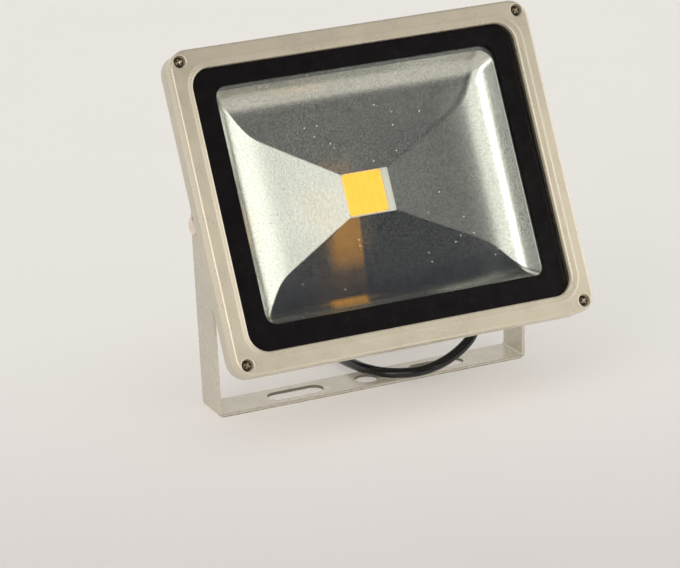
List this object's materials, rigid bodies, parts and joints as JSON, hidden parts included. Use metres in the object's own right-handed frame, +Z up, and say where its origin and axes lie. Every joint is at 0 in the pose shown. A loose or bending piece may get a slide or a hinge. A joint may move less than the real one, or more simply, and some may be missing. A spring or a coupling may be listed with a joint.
{
  "type": "led work light",
  "caption": "Rectangular floodlight with a cast finned housing, glass front and satin reflector, tilting on a bent steel U-bracket, with a short bare-ended supply cord",
  "frame": {"origin": "on the floor under the middle of the lamp's footprint, cord left out", "axes": "+X across the lamp to its right seen from the front, +Y to the back, +Z up; the glass faces -Y and up"},
  "size_m": [0.225, 0.204, 0.2145],
  "materials": {
    "silver_paint": "satin warm grey paint on die-cast aluminium",
    "strip_paint": "satin warm grey powder coat on steel strip",
    "screw_steel": "bright plated steel",
    "zinc_steel": "bright zinc plated steel",
    "front_glass": "clear tempered glass with a black printed border",
    "silicone": "matte black silicone",
    "satin_reflector": "satin anodised sheet",
    "thermal_pad": "soft grey gap filler",
    "led_plate": "plated plate",
    "white_moulding": "white moulding",
    "phosphor": "yellow phosphor in silicone",
    "driver_case": "moulded white case",
    "black_nylon": "fine matte nylon",
    "cord_rubber": "smooth black rubber, slight gloss",
    "tinned_copper": "tinned copper ferrule",
    "core_brown": "brown core insulation",
    "core_blue": "blue core insulation",
    "core_green_yellow": "green and yellow core insulation",
    "lead_red": "red wire insulation",
    "lead_black": "black wire insulation"
  },
  "bodies": {
    "bracket": {"u_bracket": "strip_paint", "mains_cord": "cord_rubber", "cord_coil": "cord_rubber", "cord_end": "cord_rubber", "coil_tie": "black_nylon", "core_brown": "core_brown", "core_blue": "core_blue", "core_green_yellow": "core_green_yellow", "ferrule_brown": "tinned_copper", "ferrule_blue": "tinned_copper", "ferrule_green_yellow": "tinned_copper"},
    "head": {"front_frame": "silver_paint", "frame_screw_top_left": "screw_steel", "frame_screw_top_right": "screw_steel", "frame_screw_bottom_right": "screw_steel", "frame_screw_bottom_left": "screw_steel", "glass_pane": "front_glass", "glass_gasket": "silicone", "reflector": "satin_reflector", "thermal_pad": "thermal_pad", "led_base": "led_plate", "led_frame": "white_moulding", "led_phosphor": "phosphor", "led_screw_1": "screw_steel", "led_screw_2": "screw_steel", "led_screw_3": "screw_steel", "led_screw_4": "screw_steel", "heat_sink_housing": "silver_paint", "cover_gasket": "silicone", "driver_cover": "silver_paint", "cover_screw_1": "screw_steel", "cover_screw_2": "screw_steel", "cover_screw_3": "screw_steel", "cover_screw_4": "screw_steel", "led_driver": "driver_case", "led_lead_positive": "lead_red", "led_lead_negative": "lead_black", "lead_live": "core_brown", "lead_neutral": "core_blue", "lead_earth": "core_green_yellow", "earth_screw": "zinc_steel", "gland_body": "black_nylon", "gland_seal": "cord_rubber", "gland_nut": "black_nylon", "gland_locknut": "black_nylon", "cord_tail": "cord_rubber", "pivot_bolt_left": "zinc_steel", "pivot_bolt_right": "zinc_steel", "pivot_washer_left": "zinc_steel", "pivot_washer_right": "zinc_steel", "friction_washer_left": "black_nylon", "friction_washer_right": "black_nylon"}
  },
  "joints": [
    {"name": "tilt", "type": "hinge", "parent": "bracket", "child": "head", "pos_m": [0, 0.0135, 0.114], "axis": [-1, 0, 0], "range_deg": [-32, 63.2], "deforming": ["mains_cord"]}
  ]
}
